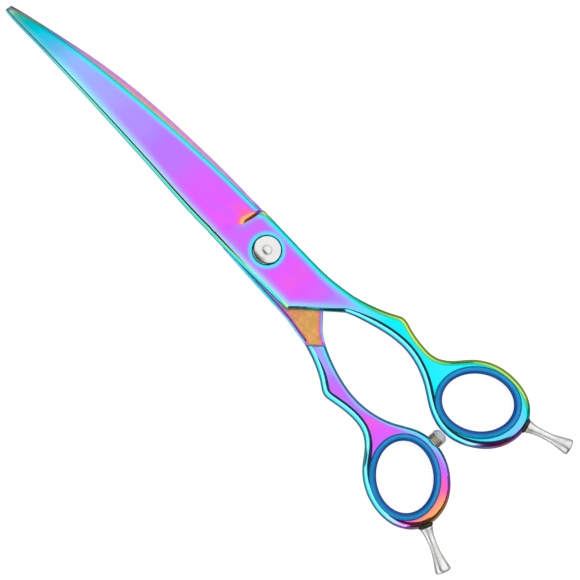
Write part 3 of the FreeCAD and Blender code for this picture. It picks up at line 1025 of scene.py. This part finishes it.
# Colour of steel under an interference film, by the film's thickness
FILM = (
    (0.00, (1.0, 0.56, 0.15)), (0.10, (1.0, 0.36, 0.16)), (0.20, (1.0, 0.13, 0.45)),
    (0.30, (0.74, 0.11, 1.0)), (0.40, (0.46, 0.19, 1.0)), (0.48, (0.40, 0.33, 1.0)),
    (0.56, (0.27, 0.50, 1.0)), (0.64, (0.10, 0.72, 1.0)), (0.72, (0.0, 0.86, 1.0)),
    (0.80, (0.0, 0.62, 0.45)), (0.88, (0.08, 0.58, 0.14)), (0.95, (0.65, 0.85, 0.1)),
    (1.00, (1.0, 0.56, 0.15)),
)
# Thickness on that scale by x in mm: in the middle of the outer face, along its edges, and gained on the
# slope towards -Y. INNER_FACE is for the inner face of both levers.
FRONT_FACE = (
    (-95, 0.4), (-91, 0.62), (-85, 0.72), (-42, 0.72), (-33, 0.62), (-26, 0.44), (-20, 0.33), (-12, 0.28),
    (-2, 0.33), (8, 0.34), (17, 0.29), (28, 0.31), (42, 0.37), (55, 0.43), (70, 0.48), (80, 0.52), (88, 0.57),
    (94, 0.66), (99, 0.75), (104, 0.82), (108, 0.89),
)
FRONT_RIM = (
    (-95, 0.3), (-86, 0.72), (-36, 0.72), (0, 0.72), (60, 0.70), (92, 0.71), (100, 0.76), (108, 0.86),
)
FRONT_LOW = (
    (-95, 0.25), (-80, 0.23), (-62, 0.22), (-46, 0.24), (-38, 0.2), (-30, 0.12), (0, 0.08), (108, 0.08),
)
REAR_FACE = (
    (-95, 0.05), (-90, 0.2), (-84, 0.36), (-77, 0.52), (-71, 0.44), (-66, 0.3), (-60, 0.26), (-54, 0.42),
    (-46, 0.36), (-38, 0.48), (0, 0.4), (108, 0.5),
)
REAR_RIM = ((-95, 0.0), (-88, 0.3), (-80, 0.5), (-66, 0.5), (-50, 0.5), (-30, 0.56), (0, 0.6), (108, 0.7))
REAR_LOW = ((-95, 0.1), (-64, 0.2), (-50, 0.1), (0, 0.2), (108, 0.2))
INNER_FACE = (
    (-40, 1.03), (-24, 1.03), (-18, 1.12), (-12, 1.35), (3, 1.35), (12, 1.1), (50, 1.05), (80, 1.08),
    (92, 1.2), (99, 1.7), (104, 1.8), (108, 1.9),
)
# Thickness by the slope towards +Y, on plate and shank, and by the slope towards the tip, less a half
PLATE_SLOPE = (
    (0.0, 0.5), (0.33, 0.55), (0.39, 0.94), (0.48, 0.82), (0.6, 0.71), (0.75, 0.6), (0.85, 0.5), (1.0, 0.38),
)
SHANK_SLOPE = ((0.0, 0.5), (0.2, 0.56), (0.38, 0.66), (0.5, 0.74), (0.64, 0.7), (0.78, 0.54), (1.0, 0.38))
TIP_SLOPE = ((0.0, 0.5), (0.12, 0.5), (0.2, 0.42), (0.35, 0.26), (0.6, 0.16), (1.0, 0.1))
RING_END = ((-97, 0.75), (-92, 0.42), (-86, 0.1), (-82, 0.0))  # film lost towards the back of a ring
SPAN = (-100, 110)
# Painted highlight: the white that the metal is mixed towards beside the +Y edge and on the blade's inner
# face
PAINTED_HIGHLIGHT_WHITE = (1, 1, 1, 1)
TIP_TINT = (0.0, 0.28, 0.5, 1)
# Painted highlight: colour of the streak on the shank's slope towards +Y
PAINTED_STREAK_TINT = (0.8, 1, 1, 1)
WORN_GOLD = (0.5, 0.33, 0.1, 1)
# Painted shade: colour of the dial's recess in the front lever
RECESS_PAINTED_SHADE = (0.01, 0.01, 0.012, 1)
# Film gained where the plate's tail edge meets its spine, and where the plunge meets the edge: x, y, gain
PLATE_CORNERS = ((-17.5 * MM, 7.9 * MM, 0.2), (8.8 * MM, -7.5 * MM, 0.13))
PLUNGE_GLOW = ((0, 1.0), (1.2, 0.85), (3, 0.5), (5, 0.2), (9, 0))  # share of the glow, by mm past the plunge
# X of the plunge line by y, both in mm
PLUNGE_LINE = tuple((-7.4 + 16.8 * a, 9.5 + b / MM) for a, b in zip(PLUNGE_SHARE, PLUNGE_SHIFT))

# Blue of an insert, from the finger hole to the lip's outer edge, with painted shade where the sleeve turns
# down at both ends and painted light across the lip
SILICONE_LIT_AND_SHADED = (
    (0.0, (0.0, 0.03, 0.2)), (0.06, (0.0, 0.07, 0.38)), (0.2, (0.0, 0.12, 0.52)), (0.3, (0.0, 0.1, 0.45)),
    (0.42, (0.0, 0.2, 0.62)), (0.6, (0.0, 0.4, 0.84)), (0.84, (0.0, 0.42, 0.82)), (0.93, (0.0, 0.22, 0.55)),
    (1.0, (0.0, 0.03, 0.14)),
)


class LeverGraph(Graph):
    """Graph of a lever's metal, with the place and slope of its surface. Lengths are in mm."""

    def __init__(self, name, inner_sign):
        super().__init__(name)
        x, y, z = self.parts(self.place)
        self.x = x / MM
        self.y = y / MM
        self.past_recess = (self.math("SQRT", x ** 2.0 + y ** 2.0) - RECESS_R) / MM
        along, across, up = self.parts(self.read("TexCoord", "Normal"))
        self.towards_tip = self.math("MAXIMUM", along, 0.0)
        self.towards_high = self.math("MAXIMUM", across, 0.0)
        self.towards_low = self.span(across * -1.0, 0.05, 0.6)
        facing = up * inner_sign
        self.steep = self.math("SQRT", self.math("MAXIMUM", 0.0, 1.0 - facing ** 2.0))
        near_plane = self.math("ABSOLUTE", (z - MID) / MM) < 0.8
        self.inner = near_plane * (facing > self.blend(self.x > 10.0, 0.1, 0.9))
        self.shank = self.span(self.x, -34, -24, 1, 0)
        self.low_rim = self.read("Attribute", "Fac", attribute_name="low_rim")
        self.high_rim = self.read("Attribute", "Fac", attribute_name="high_rim")

    def along(self, stops):
        return self.curve(self.x, *SPAN, stops)

    def near(self, distance, reach):
        """1 at an edge, easing to 0 at reach from it."""
        return self.span(distance, 0.0, reach, 1.0, 0.0) ** 1.5


def plunge_film(g, film):
    """Warm colours on the blade along the plunge, paler ones beside it on the plate."""
    at_plunge = (g.x > 8.0) * g.span(g.x, 17, 23, 1, 0)
    film = (g.curve(g.towards_tip, 0, 1, TIP_SLOPE) - 0.5) * at_plunge + film
    past_plunge = g.x - g.curve(g.y, -8, 10, PLUNGE_LINE)
    beyond = past_plunge > 0.0
    glow = g.curve(past_plunge, 0, 9, PLUNGE_GLOW) * g.span(g.y, -6.5, -4.0) * g.span(g.y, -2.8, 3.5, 1, 0)
    film = glow * beyond * -0.24 + film
    film = g.blend(beyond, film, g.math("MAXIMUM", film, 0.05))
    swoosh = g.span(past_plunge, -2.5, 0, 0, 1) * g.span(g.y, 0, 5.5, 1, 0)
    return swoosh * (1.0 - beyond) * 0.13 + film


def outer_film(g, face, rim, low_slope, near_high, recess, thickest):
    """Film thickness on a lever's outer face and rounded margins."""
    low_reach = g.along(((-44, 1.6), (-34, 3.4), (-20, 4.2), (6, 4.2), (14, 2.6), (108, 2.4)))
    near = g.math("MAXIMUM", g.near(g.low_rim, low_reach), near_high)
    if recess:
        near = g.math("MAXIMUM", near, g.near(g.past_recess, 2.4))
    film = g.towards_low * g.along(low_slope) + g.blend(near, g.along(face), g.along(rim))
    film = plunge_film(g, film)
    on_shank = g.curve(g.towards_high, 0, 1, SHANK_SLOPE) - g.along(RING_END)
    upper_slope = g.blend(g.shank, g.curve(g.towards_high, 0, 1, PLATE_SLOPE), on_shank)
    film = g.blend(g.span(g.towards_high, 0.1, 0.25), film, g.math("MINIMUM", upper_slope, thickest))
    if recess:
        for x, y, gain in PLATE_CORNERS:
            corner = {0: g.place, 1: (x, y, MID + PLATE_TOP)}
            away = g.read("VectorMath", "Value", corner, operation="DISTANCE")
            film = g.span(away, 1.5 * MM, 4.5 * MM, 1, 0) * near ** 4.0 * gain + film
    return film


def inner_film(g):
    """Film thickness on a lever's inner face."""
    near = g.math("MAXIMUM", g.near(g.low_rim, 2.3), g.near(g.high_rim, 2.3))
    film = near * g.span(g.x, 10, 16, 0.33, 0.24) + g.along(INNER_FACE)
    return g.steep * g.along(((-22, 0.55), (-16, 0.1), (6, 0.1), (14, 0.55))) + film


def film_metal(name, face, rim, low_slope, recess, inner_sign, thickest=1.0):
    """Polished steel under an interference film that drifts along the lever and towards its edges, with
    painted highlights mixed towards white, and on the front lever painted shade in the dial's recess.
    """
    g = LeverGraph(name, inner_sign)
    near_high = g.near(g.high_rim, g.along(((-40, 1.6), (-20, 4.6), (70, 4.4), (108, 2.5))))
    outer = outer_film(g, face, rim, low_slope, near_high, recess, thickest)
    drift = g.noise(45, (1, 2.2, 2.2), 2) * 0.08 + -0.04
    film = g.blend(g.inner, outer, inner_film(g)) + drift
    colour = g.ramp(g.math("FRACT", film + 1.0), FILM)
    # Painted highlight mixed towards white beside the +Y edge, and a painted sheen on the blade's inner face;
    # bluer at the tip
    painted_edge_highlight = near_high * g.span(g.towards_high, 0.05, 0.15, 1, 0) * g.span(g.x, -30, -10, 0.0, 0.35)
    painted_edge_highlight = g.blend(g.inner * g.span(g.x, 10, 24), painted_edge_highlight, 0.28)
    colour = g.mix(painted_edge_highlight, colour, PAINTED_HIGHLIGHT_WHITE)
    colour = g.mix(g.span(g.x, 80, 93, 0, 0.5), colour, TIP_TINT)
    # A painted highlight streak on the shank's slope towards +Y, and fine swirls on the strip of the inner
    # face
    painted_streak_highlight = g.span(g.towards_high, 0.36, 0.44) * g.span(g.towards_high, 0.46, 0.58, 0.35, 0)
    colour = g.mix(painted_streak_highlight * g.shank, colour, PAINTED_STREAK_TINT)
    swirl = g.span(g.noise(500, (1, 2, 1), 5), 0.35, 0.7, 0, 0.45)
    worn = g.inner * g.span(g.x, -16, -8, 1, 0) * swirl * g.span(g.steep, 0.0, 0.2, 1, 0)
    colour = g.mix(worn, colour, WORN_GOLD)
    if recess:
        # Painted shade: the dial's recess is coloured near black
        colour = g.mix(g.span(g.past_recess, -0.06, 0.04), RECESS_PAINTED_SHADE, colour)
    brushed = g.span(g.noise(900, (1, 0.05, 1), 2), 0.3, 0.7, 0.3, 0.42)
    polished = g.span(g.noise(160, detail=6), 0.35, 0.7, 0.08, 0.17)
    g.set(Metallic=1.0, Base_Color=colour, Roughness=g.blend(g.inner, polished, brushed))
    g.bump(g.noise(1400, detail=2), 0.02, 0.02 * MM)
    return g.material


def silicone():
    """Blue rubber, with painted shade where the sleeve turns down into the hole and into its seat, and
    painted light across its lip.
    """
    g = Graph("blue_silicone")
    # Painted light and shade: the blue is set by place across the sleeve's profile
    tint = g.ramp(g.read("Attribute", "Fac", attribute_name="across"), SILICONE_LIT_AND_SHADED)
    shade = g.mix(g.span(g.noise(420, detail=5), 0.3, 0.7, 0.0, 0.15), tint, (0.0, 0.05, 0.35, 1))
    g.set(Base_Color=shade, Specular_IOR_Level=0.3)
    g.roughness(g.noise(500, detail=5), 0.18, 0.34)
    g.bump(g.noise(2500), 0.06, 0.03 * MM)
    return g.material


def plain_metal(name, colour, roughness, scale=400):
    g = Graph(name)
    dark = tuple(c * 0.85 for c in colour)
    texture = g.noise(scale, detail=4)
    g.set(Metallic=1.0, Base_Color=g.mix(texture, (*colour, 1), (*dark, 1)))
    g.roughness(texture, roughness * 0.75, roughness * 1.3)
    g.bump(texture, 0.03, 0.005 * MM)
    return g.material


def rubber():
    g = Graph("black_rubber")
    texture = g.noise(1800, detail=5)
    g.set(Base_Color=g.mix(texture, (0.006, 0.006, 0.007, 1), (0.02, 0.02, 0.021, 1)))
    g.roughness(texture, 0.35, 0.55)
    g.bump(texture, 0.15, 0.03 * MM)
    return g.material


def clear_polymer():
    g = Graph("clear_polymer")
    texture = g.noise(700)
    g.set(Base_Color=g.mix(texture, (0.93, 0.95, 0.95, 1), (0.82, 0.86, 0.87, 1)))
    g.set(IOR=1.49, Transmission_Weight=0.35)
    g.roughness(texture, 0.1, 0.22)
    return g.material


def paper():
    """White when seen directly, and darker in reflections, as under a light tent with a small table."""
    g = Graph("floor")
    texture = g.noise(3, detail=4)
    seen = g.read("LightPath", "Is Camera Ray")
    white = g.mix(texture, (0.58, 0.58, 0.58, 1), (0.62, 0.62, 0.62, 1))
    g.set(Base_Color=g.mix(seen, (0.4, 0.4, 0.4, 1), white))
    g.set(Emission_Color=(1, 1, 1, 1), Emission_Strength=seen * FLOOR_GLOW)
    g.roughness(texture, 0.8, 0.95)
    return g.material


# ---- stage

def camera():
    low, high = cad_box
    data = bpy.data.cameras.new("camera")
    data.sensor_width = SENSOR
    data.lens = SENSOR * CAMERA_DISTANCE / FRAME_WIDTH
    data.clip_end = 20
    middle = (Vector(low) + Vector(high)) / 2 + FRAMING
    obj = linked("camera", data)
    obj.location = (middle.x, middle.y, MID + CAMERA_DISTANCE)
    obj.rotation_euler = (0, 0, HEADING)
    bpy.context.scene.camera = obj


def softbox(name, centre, size, radiance):
    """Rectangular area light of a given radiance, facing the origin."""
    data = bpy.data.lights.new(name, "AREA")
    data.shape = "RECTANGLE"
    data.size, data.size_y = size
    data.energy = radiance * math.pi * size[0] * size[1]
    obj = linked(name, data)
    obj.location = centre
    obj.rotation_euler = (Vector((0, 0, 0)) - centre).to_track_quat("-Z", "Y").to_euler()
    obj.visible_camera = False


def world():
    shade = bpy.data.worlds.new("world")
    shade.use_nodes = True
    tree = shade.node_tree
    background = tree.nodes["Background"]
    path = tree.nodes.new("ShaderNodeLightPath")
    strength = tree.nodes.new("ShaderNodeMapRange")
    strength.inputs["To Min"].default_value = SKY_LIGHT
    strength.inputs["To Max"].default_value = SKY_SEEN
    tree.links.new(path.outputs["Is Camera Ray"], strength.inputs["Value"])
    tree.links.new(strength.outputs[0], background.inputs["Strength"])
    background.inputs["Color"].default_value = (1, 1, 1, 1)
    bpy.context.scene.world = shade


def floor():
    steps = np.linspace(-FLOOR_HALF, FLOOR_HALF, FLOOR_POINTS)
    verts = [(x, y, cad_box[0][2] - FLOOR_GAP) for y in steps for x in steps]
    obj = new_object("floor", verts, strip(FLOOR_POINTS, FLOOR_POINTS, closed_columns=False))
    obj.data.materials.append(paper())


def at_angle(degrees, distance):
    """Point above the shears at an angle from the vertical, towards +Y."""
    a = math.radians(degrees)
    return Vector((0, math.sin(a) * distance, math.cos(a) * distance))


# ---- assembly

MATERIALS = {
    "front_film": film_metal("front_film", FRONT_FACE, FRONT_RIM, FRONT_LOW, True, -1.0),
    "rear_film": film_metal("rear_film", REAR_FACE, REAR_RIM, REAR_LOW, False, 1.0, 0.74),
    "blue_silicone": silicone(),
    "rest_nickel": plain_metal("rest_nickel", (0.95, 0.95, 0.94), 0.42, 300),
    "black_rubber": rubber(),
    "sleeve_steel": plain_metal("sleeve_steel", (0.72, 0.65, 0.55), 0.42),
    "clear_polymer": clear_polymer(),
    "bolt_steel": plain_metal("bolt_steel", (0.9, 0.89, 0.88), 0.2),
    "thrust_polymer": rubber(),
    "bush_brass": plain_metal("bush_brass", (0.8, 0.6, 0.3), 0.3),
    "spring_steel": plain_metal("spring_steel", (0.5, 0.5, 0.52), 0.25),
    "dial_chrome": plain_metal("dial_chrome", (0.86, 0.86, 0.85), 0.1, 300),
}


def coat(obj, material):
    obj.data.materials.clear()
    obj.data.materials.append(MATERIALS[material])


def dress(obj, body, node, material):
    """Put a piece on its body in place of its CAD node."""
    coat(obj, material)
    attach(obj, body)
    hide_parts(node)


dress(front_lever(), "front_lever", "front_blade", "front_film")
dress(rear_lever(), "rear_lever", "rear_blade", "rear_film")
for side in ("front", "rear"):
    body = side + "_lever"
    dress(smoothed(ring_insert(side), 50), body, side + "_ring_insert", "blue_silicone")
    dress(smoothed(finger_rest(side), 40), body, side + "_finger_rest", "rest_nickel")
    dress(smoothed(rest_washer(side), 40), body, side + "_rest_washer", "black_rubber")
dress(smoothed(bumper_sleeve(), 50), "rear_lever", "bumper_screw", "sleeve_steel")
dress(smoothed(bumper_cap(), 50), "rear_lever", "bumper_cap", "clear_polymer")
dress(smoothed(dial(), 30), "dial", "tension_dial", "dial_chrome")
dress(smoothed(pivot_bolt(), 30), "rear_lever", "pivot_bolt", "bolt_steel")
coat(NODES["thrust_washer"], "thrust_polymer")
coat(NODES["pivot_bush"], "bush_brass")
coat(NODES["click_spring"], "spring_steel")

floor()
camera()
softbox("overhead", at_angle(-31, 0.62), (2.0, 1.0), 1.0)
softbox("side", at_angle(68, 0.9), (1.6, 0.76), 1.3)
softbox("low", at_angle(-82, 0.9), (1.6, 0.4), 1.0)
world()
bpy.context.scene.view_settings.view_transform = "Standard"
